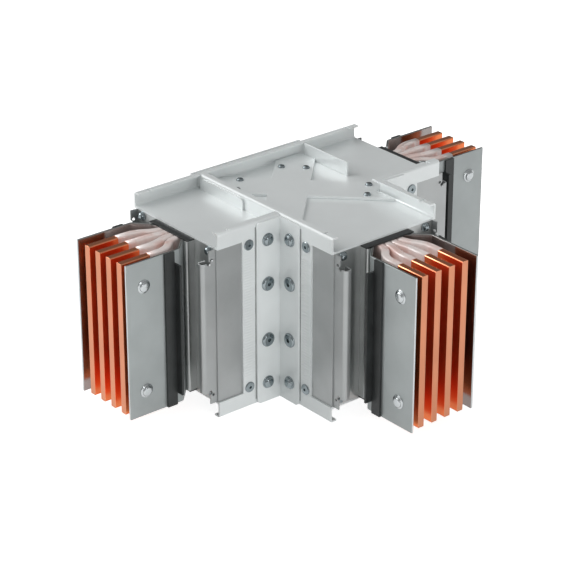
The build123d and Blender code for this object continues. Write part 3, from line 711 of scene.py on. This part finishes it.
def earth_rivets():
    """Domed rivets with a thin rim near the free end of each earth plate."""
    rivet = turned_head("rivet", RIVET_RIM + dome_rings(*RIVET_TOP))
    placings = [(rivet, point, facing) for height in RIVET_ROWS
                for point, facing in arm_spots(EARTH_REACH - RIVET_INSET, EARTH_FACE, height, False)]
    rivets = place_heads("earth_rivet_heads", placings, "earth_rivets")
    rivets.data.materials[0] = materials["bright_zinc"]


def end_screws():
    """Screws in the corners of the closures: domed ones on washers above, flat ones at the foot."""
    domed = turned_head("end screw", END_SCREW_WASHER + dome_rings(*END_SCREW_TOP))
    flat = turned_head("flat end screw", FLAT_END_HEAD)
    placings = []
    for height, head in ((END_SCREW_ROW, flat), (CASING_HEIGHT - END_SCREW_ROW, domed)):
        for point, facing in arm_spots(ARM_LENGTH, HALF_WIDTH - END_SCREW_INSET, height, True):
            placings.append((head, point, facing))
    place_heads("end_screw_heads", placings, "end_screws")


def cross_screws():
    """Small domed screws on the arms of both cross plates."""
    screw = turned_head("cross screw", CROSS_SCREW_RIM + dome_rings(*CROSS_SCREW_TOP))
    placings = []
    for turn, reach in CROSS_SCREW_PLACES:
        for side in (-CROSS_SCREW_SPREAD, CROSS_SCREW_SPREAD):
            spot = Matrix.Rotation(radians(turn), 3, "Z") @ Vector((reach, side, 0))
            placings.append((screw, (spot.x, spot.y, CROSS_PLATE_TOP), (0, 0, 1)))
            placings.append((screw, (spot.x, spot.y, CASING_HEIGHT - CROSS_PLATE_TOP), (0, 0, -1)))
    place_heads("cross_screw_heads", placings, "cross_plate_screws")


# Studio

def camera():
    """The photograph's camera."""
    data = bpy.data.cameras.new("camera")
    data.lens = CAMERA_LENS
    data.sensor_width = CAMERA_SENSOR
    data.clip_start, data.clip_end = CAMERA_SIGHT
    holder = bpy.data.objects.new("camera", data)
    holder.location = CAMERA_PLACE
    holder.rotation_euler = CAMERA_TURN
    bpy.context.scene.collection.objects.link(holder)
    bpy.context.scene.camera = holder


def toward(tree, direction, start, strength):
    """A soft patch of the sky round a direction, from 0 at its rim to the strength in its middle."""
    place = tree.nodes.new("ShaderNodeTexCoord")
    aim = tree.nodes.new("ShaderNodeVectorMath")
    aim.operation = "DOT_PRODUCT"
    aim.inputs[1].default_value = Vector(direction).normalized()
    tree.links.new(place.outputs["Generated"], aim.inputs[0])
    patch = tree.nodes.new("ShaderNodeMapRange")
    patch.interpolation_type = "SMOOTHSTEP"
    patch.inputs["From Min"].default_value = start
    patch.inputs["From Max"].default_value = 1.0
    patch.inputs["To Max"].default_value = strength
    tree.links.new(aim.outputs["Value"], patch.inputs["Value"])
    return patch.outputs["Result"]


def studio_world():
    """A pale room, bright behind on the left, darker straight behind, and plain white to the camera."""
    world = bpy.data.worlds.new("studio")
    bpy.context.scene.world = world
    world.use_nodes = True
    tree = world.node_tree
    bright = computed(tree, "ADD", toward(tree, *SKY_GLOW), SKY_LEVEL)
    dim = computed(tree, "SUBTRACT", bright, toward(tree, *SKY_SHADE))
    path = tree.nodes.new("ShaderNodeLightPath")
    seen = computed(tree, "MAXIMUM", path.outputs["Is Camera Ray"], path.outputs["Is Transmission Ray"])
    strength = tree.nodes.new("ShaderNodeMix")
    strength.inputs["B"].default_value = 1.0
    tree.links.new(seen, strength.inputs["Factor"])
    tree.links.new(dim, strength.inputs["A"])
    background = tree.nodes["Background"]
    background.inputs["Color"].default_value = (1.0, 1.0, 1.0, 1.0)
    tree.links.new(strength.outputs["Result"], background.inputs["Strength"])


def soft_box(name, place, power, width, height, gleams, lights):
    """A soft lamp that looks at the middle of the section: it lights matt faces, gleams on gloss, or both."""
    data = bpy.data.lights.new(name, "AREA")
    data.energy = power
    data.shape = "RECTANGLE"
    data.size = width
    data.size_y = height
    lamp = bpy.data.objects.new(name, data)
    lamp.visible_glossy = gleams
    lamp.visible_diffuse = lights
    lamp.location = place
    middle = (cad_low + cad_high) / 2
    lamp.rotation_euler = (middle - Vector(place)).to_track_quat("-Z", "Y").to_euler()
    bpy.context.scene.collection.objects.link(lamp)


def floor():
    """A plain white floor that keeps the section's soft shadow."""
    bpy.ops.object.select_all(action="DESELECT")
    bpy.ops.mesh.primitive_plane_add(size=FLOOR_SIZE, location=(0.0, 0.0, 0.0))
    plane = bpy.context.active_object
    plane.name = "floor"
    material = bpy.data.materials.new("studio floor")
    material.use_nodes = True
    tree = material.node_tree
    tree.nodes.remove(tree.nodes["Principled BSDF"])
    diffuse = tree.nodes.new("ShaderNodeBsdfDiffuse")
    diffuse.inputs["Color"].default_value = FLOOR_COLOUR
    glow = tree.nodes.new("ShaderNodeEmission")
    both = tree.nodes.new("ShaderNodeAddShader")
    path = tree.nodes.new("ShaderNodeLightPath")
    unseen = computed(tree, "MAXIMUM", path.outputs["Is Glossy Ray"], path.outputs["Is Transmission Ray"])
    direct = computed(tree, "MULTIPLY", path.outputs["Is Camera Ray"], FLOOR_SEEN)
    mirrored = computed(tree, "MULTIPLY", unseen, FLOOR_MIRRORED)
    tree.links.new(computed(tree, "MAXIMUM", direct, mirrored), glow.inputs["Strength"])
    tree.links.new(diffuse.outputs[0], both.inputs[0])
    tree.links.new(glow.outputs[0], both.inputs[1])
    tree.links.new(both.outputs[0], tree.nodes["Material Output"].inputs["Surface"])
    plane.data.materials.append(material)


materials = finishes()
dress()
soften_sheets()
rounded_bars()
rounded_earth_plates()
film_sleeves()
bracket_shadow_strips()
bracket_bolts()
side_screws()
earth_rivets()
end_screws()
cross_screws()
camera()
studio_world()
for lamp in LAMPS:
    soft_box(*lamp)
floor()
bpy.context.scene.view_settings.view_transform = "Standard"
